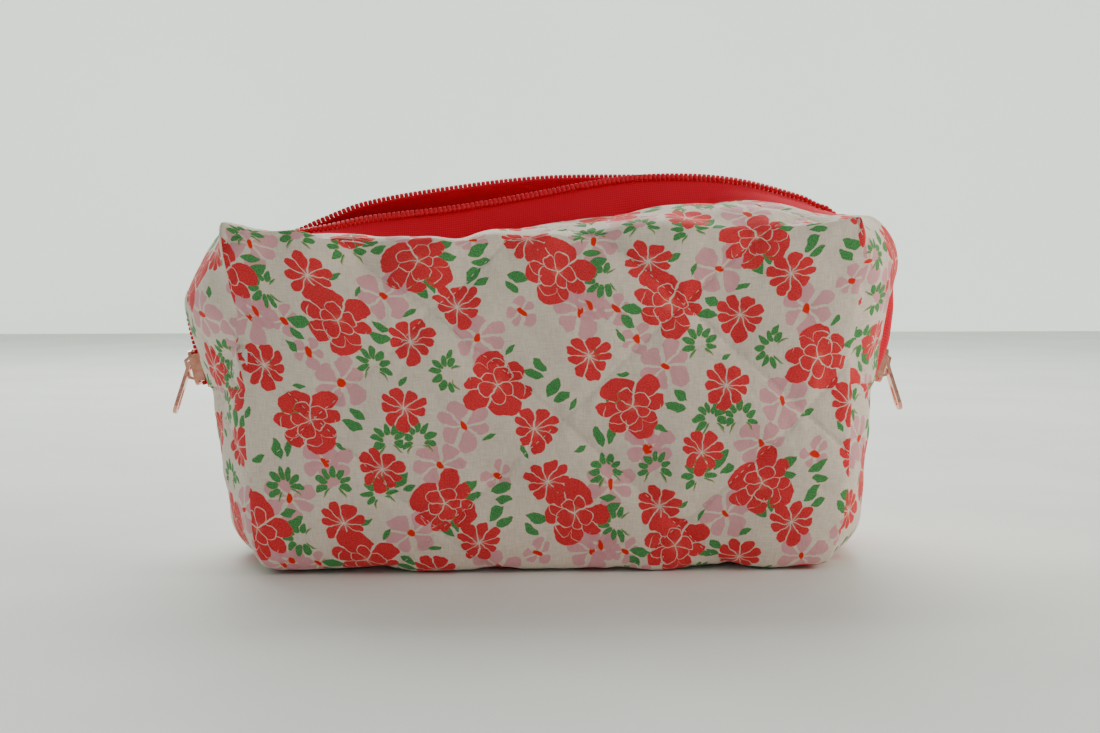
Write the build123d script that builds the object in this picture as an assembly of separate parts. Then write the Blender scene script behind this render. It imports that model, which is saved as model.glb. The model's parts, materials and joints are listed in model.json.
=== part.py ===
"""Boxy quilted zip pouch: +Z up, X along the zip, front facing -Y, origin under the middle of the base."""

from build123d import *
import math
import os

# ------------------------------------------------------------------ pouch sizes, mm
SEAM_LENGTH = 192.0  # along the front, between the corner seams
SEAM_DEPTH = 92.0  # between the front and rear top edges
EAVE_HEIGHT = 107.0  # front and rear top edges above the base
GABLE_RISE = 10.0  # from those edges up to the cloth edges beside the zip
FACE_BULGE = 4.0  # swell of the front and rear walls at mid height
END_SEAM_HEIGHT = 56.0  # cross seam on each end, where the zip stops
EAR_DROP = 27.0  # from the cloth edges down to where each end run starts to turn over
BASE_END_BULGE = 10.0  # how far each end stands past the corner seams, at the base
SEAM_END_BULGE = 17.0  # the same at the cross seam
EAR_END_BULGE = 25.0  # the same at the ear
BASE_ROUND = 7.0  # rounding of the edges round the base
CHEEK_SWELL = 5.0  # swell of each end's side panels, seen from above

# ------------------------------------------------------------------ cloth layers
CLOTH = 0.6  # printed cotton
WADDING = 1.8
LINING = 0.6
QUILT = CLOTH + WADDING + LINING

# ------------------------------------------------------------------ zip
ZIP_HALF_WIDTH = 14.0  # from the middle of the zip to the cloth edge
TAPE = 0.6
COIL = 2.4  # width and height of one half of the coil
LIP_RISE = 7.6  # from the cloth edges up to the tapes' parted lips
LIP_GAP = 6.5  # between the two coils over the pouch's mouth
DIAMOND = 2.8  # width of the post that parts the coils in a slider
RUN_CLEAR = 0.25  # slider's clearance round the coils and tapes
POST_CLEAR = 0.4  # slider post's clearance to each coil

# ------------------------------------------------------------------ slider and pull
SLIDER_LENGTH = 12.0
SLIDER_WING = 1.2  # thickness of the top and bottom wings
SLIDER_FLANGE = 0.95
SLIDER_REST = 1.2  # gap between the cross seam and a slider at rest
BAIL_LENGTH = 9.0
BAIL_STRIP = 0.9
BAIL_WIDTH = 2.2
BAIL_SLOPE = 1.3  # how far each end of the bail leans in
PULL_THICK = 1.2
PULL_LENGTH = 18.0
PULL_NECK = 4.6
PULL_WIDTH = 6.0
PULL_WINDOW = 4.6  # from the pull's axis to the web that rests on the bail
PULL_SIDE_CLEAR = 0.3
PULL_BAR_CLEAR = 0.25  # above and below the pull's crossbar, inside the bail
PULL_REST_CLEAR = 0.1  # between the pull's web and the bail that it rests on
PULL_SLOT_WIDTH = 2.8
PULL_SLOT_LENGTH = 7.5
PULL_SLOT_EDGE = 1.6  # metal left below the slot
PULL_AXIS_FORWARD = 1.9  # pull's axis ahead of the middle of the slider

# ------------------------------------------------------------------ seams and joints
BINDING_WIDTH = 6.0
BINDING_THICK = 1.4
BINDING_END_CLEAR = 6.0  # kept free at the ends of each binding
FOLD_SHOULDER = 3.6  # from the front or rear wall to the fold line of a flap
FOLD_CLEAR = 0.8  # between a flap and the shoulder it folds from
FLAP_END_CLEAR = 0.4
FLAP_INSET = 2.0  # from the corner seams to the ends of each flap
JOIN_CLEAR = 0.3

HALF_LENGTH = SEAM_LENGTH / 2
HALF_DEPTH = SEAM_DEPTH / 2
TOP_HEIGHT = EAVE_HEIGHT + GABLE_RISE
EAR_HEIGHT = TOP_HEIGHT - EAR_DROP
LIP_HEIGHT = TOP_HEIGHT + LIP_RISE
FACE_Y = HALF_DEPTH + FACE_BULGE
SEAM_X = HALF_LENGTH + SEAM_END_BULGE
EAR_X = HALF_LENGTH + EAR_END_BULGE
BASE_X = HALF_LENGTH + BASE_END_BULGE
LEAN = math.atan2(EAR_X - SEAM_X, EAR_HEIGHT - END_SEAM_HEIGHT)  # of the end run
EAR_RADIUS = EAR_DROP / (1 + math.sin(LEAN))
EAR_CENTRE_X = EAR_X - EAR_RADIUS * math.cos(LEAN)
EAR_CENTRE_Z = TOP_HEIGHT - EAR_RADIUS
COIL_Y = DIAMOND / 2 + POST_CLEAR + COIL / 2  # coil's middle on the end runs
TAPE_DEPTH = COIL / 2  # tape's outer face, below the end profile
FOLD_Y = HALF_DEPTH - FOLD_SHOULDER
FLAP_REACH = min(HALF_LENGTH - FLAP_INSET, EAR_CENTRE_X)
GABLE_SLOPE = GABLE_RISE / (HALF_DEPTH - ZIP_HALF_WIDTH)
FOLD_Z = EAVE_HEIGHT + GABLE_SLOPE * FOLD_SHOULDER
BAIL_HEIGHT = PULL_THICK + 2 * PULL_BAR_CLEAR + BAIL_STRIP
RUN_UP = Vector(math.sin(LEAN), 0, math.cos(LEAN))
RUN_OUT = Vector(math.cos(LEAN), 0, -math.sin(LEAN))
ROOM = 400.0  # larger than the pouch, for cutting tools


def end_profile(depth):
    """The pouch seen from the front, taken in by depth: base, leaning ends and rounded ears."""
    ear_start = (EAR_X, EAR_HEIGHT)
    ear_mid_turn = (math.pi / 2 - LEAN) / 2
    ear_middle = (
        EAR_CENTRE_X + EAR_RADIUS * math.cos(ear_mid_turn),
        EAR_CENTRE_Z + EAR_RADIUS * math.sin(ear_mid_turn),
    )
    right = [
        Line((0, 0), (BASE_X - BASE_ROUND, 0)),
        ThreePointArc(
            (BASE_X - BASE_ROUND, 0),
            (BASE_X - BASE_ROUND * 0.29, BASE_ROUND * 0.29),
            (BASE_X, BASE_ROUND),
        ),
        Line((BASE_X, BASE_ROUND), (SEAM_X, END_SEAM_HEIGHT)),
        Line((SEAM_X, END_SEAM_HEIGHT), ear_start),
        ThreePointArc(ear_start, ear_middle, (EAR_CENTRE_X, TOP_HEIGHT)),
        Line((EAR_CENTRE_X, TOP_HEIGHT), (0, TOP_HEIGHT)),
    ]
    half = make_face(Curve() + right + [Line((0, TOP_HEIGHT), (0, 0))])
    whole = half + mirror(half, Plane.YZ)
    return offset(whole, -depth) if depth else whole


def side_profile(depth):
    """The pouch seen from its end, taken in by depth: swollen walls under a low gable."""
    low = HALF_DEPTH - BASE_ROUND
    corner = (HALF_DEPTH - BASE_ROUND * 0.29, BASE_ROUND * 0.29)
    right = [
        Line((0, 0), (low, 0)),
        ThreePointArc((low, 0), corner, (HALF_DEPTH, BASE_ROUND)),
        ThreePointArc(
            (HALF_DEPTH, BASE_ROUND),
            (FACE_Y, (BASE_ROUND + EAVE_HEIGHT) / 2),
            (HALF_DEPTH, EAVE_HEIGHT),
        ),
        Line((HALF_DEPTH, EAVE_HEIGHT), (ZIP_HALF_WIDTH, TOP_HEIGHT)),
        Line((ZIP_HALF_WIDTH, TOP_HEIGHT), (0, TOP_HEIGHT)),
    ]
    half = make_face(Curve() + right + [Line((0, TOP_HEIGHT), (0, 0))])
    whole = half + mirror(half, Plane.YZ)
    return offset(whole, -depth) if depth else whole


def plan_profile(depth):
    """The pouch seen from above, taken in by depth: straight walls and rounded cheeks."""
    corner = Vector(HALF_LENGTH, FACE_Y)
    cheek_end = Vector(EAR_CENTRE_X + EAR_RADIUS, ZIP_HALF_WIDTH)
    chord = cheek_end - corner
    outward = Vector(-chord.Y, chord.X).normalized() * -1
    cheek_middle = (corner + cheek_end) * 0.5 + outward * CHEEK_SWELL
    quarter = make_face(
        Curve()
        + [
            Line((0, 0), (0, FACE_Y)),
            Line((0, FACE_Y), corner),
            ThreePointArc(corner, cheek_middle, cheek_end),
            Line(cheek_end, (cheek_end.X, 0)),
            Line((cheek_end.X, 0), (0, 0)),
        ]
    )
    half = quarter + mirror(quarter, Plane.XZ)
    whole = half + mirror(half, Plane.YZ)
    return offset(whole, -depth) if depth else whole


def block(x, y, z):
    """A box from three (low, high) pairs."""
    size = [pair[1] - pair[0] for pair in (x, y, z)]
    middle = [(pair[1] + pair[0]) / 2 for pair in (x, y, z)]
    return Pos(*middle) * Box(*size)


def filled_pouch(depth):
    """The closed pouch as one block, taken in by depth on every side."""
    front = extrude(Plane.XZ * end_profile(depth), ROOM / 2, both=True)
    side = extrude(Plane.YZ * side_profile(depth), ROOM / 2, both=True)
    plan = extrude(plan_profile(depth), ROOM / 2, both=True)
    return front & side & plan


def zip_slot():
    """What the zip leaves open: the strip over the top and down both ends to the cross seams."""
    width = (-ZIP_HALF_WIDTH, ZIP_HALF_WIDTH)
    return block((-ROOM / 2, ROOM / 2), width, (END_SEAM_HEIGHT, ROOM / 2))


def flap_zone(side, clear):
    """The space of one flap; side is -1 for the front, and clear widens it on three sides."""
    across = sorted((side * ZIP_HALF_WIDTH, side * (FOLD_Y + clear * FOLD_CLEAR)))
    reach = FLAP_REACH + clear * FLAP_END_CLEAR
    return block((-reach, reach), across, (EAVE_HEIGHT - 2 * QUILT, ROOM / 2))


def one_solid(shape):
    """The largest solid of a shape, which drops slivers left by a cut."""
    return max(shape.solids(), key=lambda solid: solid.volume)


def quilt_layer(outer_depth, inner_depth):
    """One layer of the quilt: the tub and its front and rear flaps."""
    layer = filled_pouch(outer_depth) - filled_pouch(inner_depth) - zip_slot()
    tub = one_solid(layer - flap_zone(-1, 1) - flap_zone(1, 1))
    front = one_solid(layer & flap_zone(-1, 0))
    rear = one_solid(layer & flap_zone(1, 0))
    return tub, front, rear


# ------------------------------------------------------------------ zip
def end_strip(outer_depth, inner_depth, y_pair, end):
    """A strip along the zip's end run, between two depths under the end profile."""
    band = end_profile(outer_depth) - end_profile(inner_depth)
    strip = extrude(Plane.XZ * band, ROOM / 2, both=True)
    z_pair = (END_SEAM_HEIGHT + JOIN_CLEAR, ROOM / 2)
    x_pair = sorted((end * (FLAP_REACH + FLAP_END_CLEAR), end * ROOM / 2))
    return one_solid(strip & block(x_pair, y_pair, z_pair))


def end_tape(side, end):
    inner = COIL_Y - COIL / 2
    outer = ZIP_HALF_WIDTH
    return end_strip(TAPE_DEPTH, TAPE_DEPTH + TAPE, sorted((side * inner, side * outer)), end)


def end_coil(side, end):
    inner, outer = COIL_Y - COIL / 2, COIL_Y + COIL / 2
    return end_strip(-COIL / 2, TAPE_DEPTH, sorted((side * inner, side * outer)), end)


def mouth_strip(points, side):
    """A section in the YZ plane, given for +Y, drawn out along the flap's length."""
    section = make_face(Polyline([(side * y, z) for y, z in points], close=True))
    return extrude(Plane.YZ * section, FLAP_REACH, both=True)


def mouth_tape(side):
    """The tape stands up from the cloth edge to the lip."""
    lip = LIP_GAP / 2 + COIL / 4
    foot = TOP_HEIGHT - QUILT / 2
    points = [
        (ZIP_HALF_WIDTH, foot),
        (lip, LIP_HEIGHT),
        (lip, LIP_HEIGHT - TAPE * 1.4),
        (ZIP_HALF_WIDTH, foot - TAPE * 1.4),
    ]
    return mouth_strip(points, side)


def mouth_coil(side):
    """The coil lies along the outer face of the tape, at the lip."""
    lip = LIP_GAP / 2
    slope = (LIP_RISE + QUILT / 2) / (ZIP_HALF_WIDTH - lip - COIL / 4)
    inner_top = LIP_HEIGHT + COIL * 1.05
    points = [
        (lip, LIP_HEIGHT + slope * COIL / 4),
        (lip + COIL, LIP_HEIGHT - slope * COIL * 0.75),
        (lip + COIL, inner_top - slope * COIL),
        (lip, inner_top),
    ]
    return mouth_strip(points, side)


# ------------------------------------------------------------------ slider and pull
def slider_place(end):
    """Where a slider rests: x up the end run, z out of the pouch, from the middle of the coils."""
    up = Vector(end * RUN_UP.X, 0, RUN_UP.Z)
    out = Vector(end * RUN_OUT.X, 0, RUN_OUT.Z)
    seam = Vector(end * SEAM_X, 0, END_SEAM_HEIGHT)
    origin = seam + up * (SLIDER_REST + SLIDER_LENGTH / 2)
    return Plane(origin=origin, x_dir=up, z_dir=out)


def slider_body():
    """Two wings round the coils, joined by the post that parts them, with the pull's bail on top."""
    half = COIL_Y + COIL / 2 + RUN_CLEAR + SLIDER_FLANGE
    top = COIL / 2 + RUN_CLEAR
    under = -COIL / 2 - TAPE - RUN_CLEAR
    length = SLIDER_LENGTH / 2
    plate = extrude(RectangleRounded(SLIDER_LENGTH, 2 * half, SLIDER_LENGTH / 5), SLIDER_WING)
    body = Pos(0, 0, top) * plate + Pos(0, 0, under - SLIDER_WING) * plate
    tail = length * 0.75
    for side in (-1, 1):
        across = sorted((side * (half - SLIDER_FLANGE), side * half))
        body += block((-tail, tail), across, (-COIL / 2 + RUN_CLEAR, top))
    post = RectangleRounded(SLIDER_LENGTH * 0.3, DIAMOND, DIAMOND / 3)
    body += Pos(length * 0.6, 0, under) * extrude(post, top - under)
    return body + Pos(0, 0, top + SLIDER_WING) * bail()


def bail():
    """The bridge that holds the pull: a strip bent up over the top wing."""
    foot = BAIL_LENGTH / 2
    top = BAIL_HEIGHT
    inner_foot, inner_top = foot - BAIL_STRIP, top - BAIL_STRIP
    shoulder = foot - BAIL_SLOPE
    inner_shoulder = shoulder - BAIL_STRIP * 0.7
    outside = [(-foot, 0), (-shoulder, top), (shoulder, top), (foot, 0)]
    inside = [(inner_foot, 0), (inner_shoulder, inner_top)]
    inside += [(-inner_shoulder, inner_top), (-inner_foot, 0)]
    strip = make_face(Polyline(outside + inside, close=True))
    return extrude(Plane.XZ * strip, BAIL_WIDTH / 2, both=True)


def pull_axis_height():
    """The pull's axis lies in the middle of the gap under the bail."""
    return COIL / 2 + RUN_CLEAR + SLIDER_WING + PULL_BAR_CLEAR + PULL_THICK / 2


def pull_rest_angle():
    """Degrees between a pull and its slider when the pull's web rests on the bail."""
    half = PULL_THICK / 2
    rise = BAIL_HEIGHT + PULL_REST_CLEAR - PULL_BAR_CLEAR - half
    reach = math.hypot(PULL_WINDOW, half)
    return math.degrees(math.atan2(half, PULL_WINDOW) + math.asin(rise / reach))


def pull_tab():
    """The pull along +X from its axis: crossbar, window round the bail, and a slotted paddle."""
    neck, wide = PULL_NECK / 2, PULL_WIDTH / 2
    paddle_end = PULL_LENGTH - wide
    outline = make_face(
        Curve()
        + [
            Line((0, -neck), (PULL_WINDOW, -neck)),
            Line((PULL_WINDOW, -neck), (paddle_end, -wide)),
            ThreePointArc((paddle_end, -wide), (PULL_LENGTH, 0), (paddle_end, wide)),
            Line((paddle_end, wide), (PULL_WINDOW, neck)),
            Line((PULL_WINDOW, neck), (0, neck)),
            Line((0, neck), (0, -neck)),
        ]
    )
    window = Pos(PULL_WINDOW / 2, 0) * Rectangle(PULL_WINDOW, BAIL_WIDTH + 2 * PULL_SIDE_CLEAR)
    slot_middle = PULL_LENGTH - PULL_SLOT_EDGE - PULL_SLOT_LENGTH / 2
    slot = Pos(slot_middle, 0) * SlotOverall(PULL_SLOT_LENGTH, PULL_SLOT_WIDTH)
    tab = extrude(outline - window - slot, PULL_THICK / 2, both=True)
    return tab + Rot(90, 0, 0) * Cylinder(PULL_THICK / 2, PULL_NECK)


def placed_slider(end):
    return slider_place(end) * slider_body()


def placed_pull(end):
    turned = Rot(0, pull_rest_angle() - 180, 0) * pull_tab()
    return slider_place(end) * Pos(PULL_AXIS_FORWARD, 0, pull_axis_height()) * turned


# ------------------------------------------------------------------ seam bindings
def corner_binding(side, end):
    """The bound seam allowance that stands into the pouch from a corner seam."""
    height = EAVE_HEIGHT - 2 * BINDING_END_CLEAR
    reach = BINDING_WIDTH + FACE_BULGE + QUILT
    strip = block((0, reach), (-BINDING_THICK / 2, BINDING_THICK / 2), (0, height))
    turn = math.degrees(math.atan2(-side, -end))
    corner = Pos(end * (HALF_LENGTH - QUILT / 2), side * (HALF_DEPTH - QUILT / 2))
    placed = corner * Pos(0, 0, BINDING_END_CLEAR + QUILT) * Rot(0, 0, turn) * strip
    return one_solid(placed & filled_pouch(QUILT))


def end_binding(end):
    """The bound cross seam inside an end, just under the zip's stop."""
    x_pair = sorted((end * (SEAM_X - QUILT - BINDING_WIDTH), end * ROOM / 2))
    y_half = HALF_DEPTH - BINDING_WIDTH - BINDING_END_CLEAR
    top = END_SEAM_HEIGHT - JOIN_CLEAR
    strip = block(x_pair, (-y_half, y_half), (top - BINDING_THICK, top))
    return one_solid(strip & filled_pouch(QUILT))


# ------------------------------------------------------------------ the assembly
def build():
    """Every piece by its node name."""
    cloth, wadding, lining = (
        quilt_layer(0, CLOTH),
        quilt_layer(CLOTH, CLOTH + WADDING),
        quilt_layer(CLOTH + WADDING, QUILT),
    )
    pieces = {"outer_cloth": cloth[0], "wadding": wadding[0], "lining": lining[0]}
    for index, name, side in ((1, "front", -1), (2, "rear", 1)):
        pieces[f"{name}_flap_cloth"] = cloth[index]
        pieces[f"{name}_flap_wadding"] = wadding[index]
        pieces[f"{name}_flap_lining"] = lining[index]
        pieces[f"{name}_zip_tape"] = mouth_tape(side)
        pieces[f"{name}_zip_coil"] = mouth_coil(side)
        for end_name, end in (("left", -1), ("right", 1)):
            pieces[f"{name}_tape_{end_name}_end"] = end_tape(side, end)
            pieces[f"{name}_coil_{end_name}_end"] = end_coil(side, end)
            pieces[f"{name}_{end_name}_corner_binding"] = corner_binding(side, end)
    for end_name, end in (("left", -1), ("right", 1)):
        pieces[f"{end_name}_seam_binding"] = end_binding(end)
        pieces[f"{end_name}_slider"] = placed_slider(end)
        pieces[f"{end_name}_pull"] = placed_pull(end)
    return pieces


PIECES = build()
os.makedirs("parts", exist_ok=True)
for node, piece in PIECES.items():
    export_step(piece, f"parts/{node}.step")
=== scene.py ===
"""A boxy quilted makeup pouch in printed cotton, with a red zip parted by a slider at each end."""

import json
import math

import bmesh
import bpy
import numpy as np
from mathutils import Matrix, Vector, noise
from mathutils.bvhtree import BVHTree
from mathutils.geometry import barycentric_transform


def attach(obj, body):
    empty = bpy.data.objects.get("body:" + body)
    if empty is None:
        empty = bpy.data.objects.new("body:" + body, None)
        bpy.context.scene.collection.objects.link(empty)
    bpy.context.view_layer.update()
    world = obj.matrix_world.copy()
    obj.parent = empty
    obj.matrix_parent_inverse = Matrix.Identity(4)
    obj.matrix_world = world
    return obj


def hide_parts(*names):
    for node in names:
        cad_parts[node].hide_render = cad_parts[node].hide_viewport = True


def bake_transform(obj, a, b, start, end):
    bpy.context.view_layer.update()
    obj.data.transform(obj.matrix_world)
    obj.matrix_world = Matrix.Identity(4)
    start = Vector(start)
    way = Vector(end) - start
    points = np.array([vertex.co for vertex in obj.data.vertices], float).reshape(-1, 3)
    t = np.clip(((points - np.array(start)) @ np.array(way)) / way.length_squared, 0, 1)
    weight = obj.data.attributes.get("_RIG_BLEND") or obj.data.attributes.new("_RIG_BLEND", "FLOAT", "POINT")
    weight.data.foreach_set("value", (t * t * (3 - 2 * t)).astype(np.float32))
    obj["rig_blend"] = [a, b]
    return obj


MM = 0.001
ENDS = {"left": -1, "right": 1}
SIDES = {"front": -1, "rear": 1}

# ------------------------------------------------------------------ the cut of the cloth
# One half is a grid: columns run along the zip, rows run from the middle of the base round to the zip.
MIDDLE_COLUMNS = 38  # from the middle to a corner seam
LOW_COLUMNS = 22  # the base's end strip, up to the cross seam
TOP_COLUMNS = 20  # the top's end strip, over the ear and down to the cross seam
BASE_ROWS = 18
WALL_ROWS = 42
FLAP_ROWS = 13
ZIP_ROWS = 5  # base rows as wide as the zip
WALL_TOP = BASE_ROWS + WALL_ROWS
LAST_ROW = WALL_TOP + FLAP_ROWS
SEAM_LENGTH = 192.0
SEAM_DEPTH = 92.0
WALL_HEIGHT = 107.0
ZIP_HALF = 14.0
FLAP_WIDTH = 33.0
END_STRETCH = {"low": 2.8, "top": 3.1}  # cloth taken up by one column of each end strip

# ------------------------------------------------------------------ quilting, layers and zip, mm
DIAMOND_WIDE = 77.0
DIAMOND_TALL = 69.0
DIAMOND_PLACE = (2.8, 95.0)  # one crossing of the quilting lines on the flat cloth
QUILT_SINK = 1.7  # how far the quilting draws the printed cotton in
QUILT_SOFTNESS = 6.5
SEAM_SINK = 0.9  # groove along a seam
# Depth of each layer's face below the pouch's face, its thickness, and how far the quilting draws it in
LAYERS = {"cotton": (0, 0.6, QUILT_SINK), "wadding": (1.2, 0.5, 1.3), "lining": (2.6, 0.6, 0.6)}
TAPE = 0.6
TOOTH_PITCH = 1.55
TOOTH_SIZE = (1.34, 2.1, 1.6)  # along the zip, across it, and through it
TOOTH_ROUNDING = 0.4


def through(*points):
    """A smooth curve through (place, value) points, level past both ends."""
    places = [p[0] for p in points]
    values = [p[1] for p in points]
    slopes = [0.0] * len(points)
    for i in range(1, len(points) - 1):
        slopes[i] = (values[i + 1] - values[i - 1]) / (places[i + 1] - places[i - 1])

    def value(x):
        if x <= places[0]:
            return values[0]
        for i in range(len(points) - 1):
            if x <= places[i + 1]:
                span = places[i + 1] - places[i]
                t = (x - places[i]) / span
                rise = values[i + 1] - values[i]
                a = slopes[i] * span - rise
                b = rise - slopes[i + 1] * span
                return values[i] + t * rise + t * (1 - t) * (a * (1 - t) + b * t)
        return values[-1]

    return value


def mix(a, b, t):
    """Part of the way, t, from a to b."""
    return a + (b - a) * t


def run_along(points):
    """A function from 0..1 to a point on the smooth line through points, at an even pace."""
    steps = [0.0]
    for a, b in zip(points, points[1:]):
        steps.append(steps[-1] + (Vector(b) - Vector(a)).length)
    tracks = [through(*zip(steps, [p[k] for p in points])) for k in range(3)]
    fine = [Vector([track(steps[-1] * n / 200) for track in tracks]) for n in range(201)]
    gone = [0.0]
    for a, b in zip(fine, fine[1:]):
        gone.append(gone[-1] + (b - a).length)

    def at(t):
        place = np.interp(t * gone[-1], gone, range(201))
        low = min(int(place), 199)
        return fine[low].lerp(fine[low + 1], place - low)

    return at


# ------------------------------------------------------------------ the pouch's shape, mm
# Tables by end are -1 left and 1 right; tables by side are -1 front and 1 rear.
# Distance of the corner seams from the middle along X, by share of the height
SEAM_OUT = {
    -1: through((0, 90), (0.05, 92), (0.3, 93.6), (0.52, 93.8), (0.7, 96.5), (0.88, 100.6), (1, 102.3)),
    1: through((0, 91.5), (0.05, 93.5), (0.3, 95.8), (0.52, 96.2), (0.7, 97), (0.88, 99), (1, 100.5)),
}
# The same along Y
SEAM_DEEP = through((0, 42), (0.06, 44), (0.25, 46), (0.7, 46.5), (0.92, 45), (1, 43.5))
CROSS_SEAM = 56.0
# By X: height of each side's ridge, height of the cloth's edge beside the zip, and that edge's distance in Y
RIDGE = {
    -1: through(
        (-102, 112.2), (-88, 110), (-74, 108.8), (-60, 106.8), (-52, 104.4), (-45, 106), (-37, 106.6),
        (-29, 104), (-20, 106.4), (0, 107.5), (40, 109), (80, 111), (101, 114),
    ),
    1: through((-102, 108), (-60, 107), (0, 108), (60, 109), (101, 111)),
}
CLOTH_EDGE = {
    -1: through(
        (-96, 107.6), (-80, 106.6), (-62, 104.6), (-45, 103.8), (-30, 104.4), (-12, 108.2), (0, 110.4),
        (13, 112.6), (53, 118.3), (72, 118.5), (96, 114),
    ),
    1: through(
        (-96, 107.6), (-78, 108.6), (-60, 111.5), (-30, 113.5), (0, 115.5), (30, 116.5), (60, 117),
        (96, 113.5),
    ),
}
CLOTH_EDGE_IN = through((-96, 14), (-60, 11.5), (-20, 10.5), (40, 10), (70, 11.5), (96, 14))
# By X: height of each parted lip of the zip, and its distance in Y
LIP = {
    -1: through(
        (-96, 107.2), (-82, 107.9), (-70, 109.9), (-58, 112.3), (-31, 115.5), (-1, 120.6), (13, 123.4),
        (33, 126.2), (54, 126.4), (70, 124.4), (88, 119.6), (96, 116.5),
    ),
    1: through(
        (-96, 107.4), (-84, 108), (-75, 111.6), (-60, 117.2), (-32, 122.3), (-1, 126), (27, 126.6),
        (54, 126), (72, 123.4), (88, 119), (96, 116),
    ),
}
LIP_IN = {
    -1: through((-96, 3.6), (-60, 5), (-30, 6), (0, 5), (30, 3.8), (60, 3.4), (96, 3.4)),
    1: through((-96, 3.4), (-60, 3.2), (-30, 3.2), (0, 3.2), (40, 3.4), (96, 3.4)),
}
# X and Z down the middle of each end's lower panel, from the base to the cross seam
LOW_END = {
    -1: [(90, 0.0), (97, 0.6), (102.6, 6), (105.6, 17), (108.4, 33), (110.8, 47), (112, 56)],
    1: [(91.5, 0.0), (101, 0.6), (107, 6), (109.4, 17), (111, 33), (112, 47), (112.4, 56)],
}
# X and Z of the cloth's edge over each ear, and of the coil, from the flap down towards the cross seam
EAR_BEND = {
    -1: [(103.2, 110.8), (108.6, 104.4), (113.8, 96), (118.5, 88), (118.5, 83), (116.2, 76), (114.2, 70)],
    1: [(108.8, 114.8), (113.8, 110.8), (118, 103.6), (119.4, 96), (117.6, 87.6), (114.6, 76)],
}
LIP_BEND = {
    -1: [
        (100.8, 106.6), (105.8, 101.4), (110.4, 94.4), (114.4, 88.6), (117.1, 83.8), (118.1, 79.6),
        (117.6, 76.3), (116.3, 70),
    ],
    1: [
        (102.8, 111), (108, 106.4), (113, 99.4), (116.4, 92), (118.1, 85.4), (118.3, 80), (117.6, 76.3),
        (116.3, 70),
    ],
}
LOW_END_RUN = {end: run_along([(px, 0, pz) for px, pz in LOW_END[end]]) for end in ENDS.values()}


def row_out(row):
    """Distance of a base row from the middle of the base."""
    if row <= ZIP_ROWS:
        return ZIP_HALF * row / ZIP_ROWS
    return mix(ZIP_HALF, SEAM_DEPTH / 2, (row - ZIP_ROWS) / (BASE_ROWS - ZIP_ROWS))


def round_out(across):
    """How far an end panel has swung out, from 0 at its corner seam to 1 at the middle."""
    return math.sin(math.pi / 2 * across) ** 0.8


def seam_line(a, t):
    """Across a panel at height t, from one corner seam at a = -1 to the other at a = 1."""
    return mix(-SEAM_OUT[-1](t), SEAM_OUT[1](t), (a + 1) / 2)


def seam_point(side, end, t):
    """A point of a corner seam, from the base up to the top corner."""
    top = RIDGE[side](end * 101.5)
    return Vector((end * SEAM_OUT[end](t), side * SEAM_DEEP(t), t * top))


def low_end_point(side, end, column, row):
    """The end's lower panel, which is the base carried on upwards."""
    t = column / LOW_COLUMNS
    seam = seam_point(side, end, column / WALL_ROWS)
    middle = LOW_END_RUN[end](t)
    across = 1 - row_out(row) / (SEAM_DEPTH / 2)
    x = mix(abs(seam.x), middle.x, round_out(across))
    return Vector((end * x, seam.y * (1 - across), mix(seam.z, middle.z, across)))


def ear_edge(side, end):
    """The cloth's edge beside the zip, from the flap's end over the ear to the cross seam."""
    start = flap_point(side, end * MIDDLE_COLUMNS, 1)
    foot = low_end_point(side, end, LOW_COLUMNS, ZIP_ROWS)
    points = [start] + [(end * px, side * ZIP_HALF, pz) for px, pz in EAR_BEND[end]] + [foot]
    return run_along(points)


def ear_lip(side, end):
    """The middle of the coil over the ear, and straight down to the cross seam."""
    x = end * SEAM_LENGTH / 2
    start = (x, side * LIP_IN[side](x), LIP[side](x))
    bend = LIP_BEND[end] + [(113, CROSS_SEAM)]
    points = [start] + [(end * px, side * 3.0, pz) for px, pz in bend]
    return run_along(points)


def flap_point(side, column, s):
    """The top panel between its front or rear ridge, s = 0, and the zip, s = 1."""
    a = column / MIDDLE_COLUMNS
    ridge_x = seam_line(a, 1)
    edge_x = a * SEAM_LENGTH / 2
    y = mix(SEAM_DEEP(1) + 1.5 * (1 - a**4), CLOTH_EDGE_IN(edge_x), s)
    z = mix(RIDGE[side](ridge_x), CLOTH_EDGE[side](edge_x), s)
    crown = mix(0.3, 2.6, (a + 1) / 2) * math.sin(math.pi * s) * (1 - a**4)
    return Vector((mix(ridge_x, edge_x, s), side * y, z + crown))


EAR_EDGE = {(s, e): ear_edge(s, e) for s in SIDES.values() for e in ENDS.values()}
EAR_LIP = {(s, e): ear_lip(s, e) for s in SIDES.values() for e in ENDS.values()}


def top_end_point(side, end, column, s):
    """The end's upper panel, which is the top carried on over the ear."""
    seam = seam_point(side, end, (WALL_ROWS - column) / WALL_ROWS)
    edge = EAR_EDGE[side, end](column / TOP_COLUMNS)
    reach = 1 - ZIP_HALF / (SEAM_DEPTH / 2)
    swing = round_out(reach * s) / round_out(reach)
    swing = mix(s, swing, min(1, column / 6))
    return Vector((mix(seam.x, edge.x, swing), mix(seam.y, edge.y, s), mix(seam.z, edge.z, s)))


def wall_point(side, column, row):
    """The front or rear panel."""
    a = column / MIDDLE_COLUMNS
    t = (row - BASE_ROWS) / WALL_ROWS
    x = seam_line(a, t)
    z = t * RIDGE[side](seam_line(a, 1))
    swell = 4.2 * (1 - a**6) * math.sin(math.pi * min(1, t * 1.02)) ** 0.7
    if side < 0:
        swell -= 2.6 * math.exp(-(((x + 56) / 13) ** 2) - ((z - 99) / 6) ** 2)
    return Vector((x, side * (SEAM_DEEP(t) + swell), z))


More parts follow.
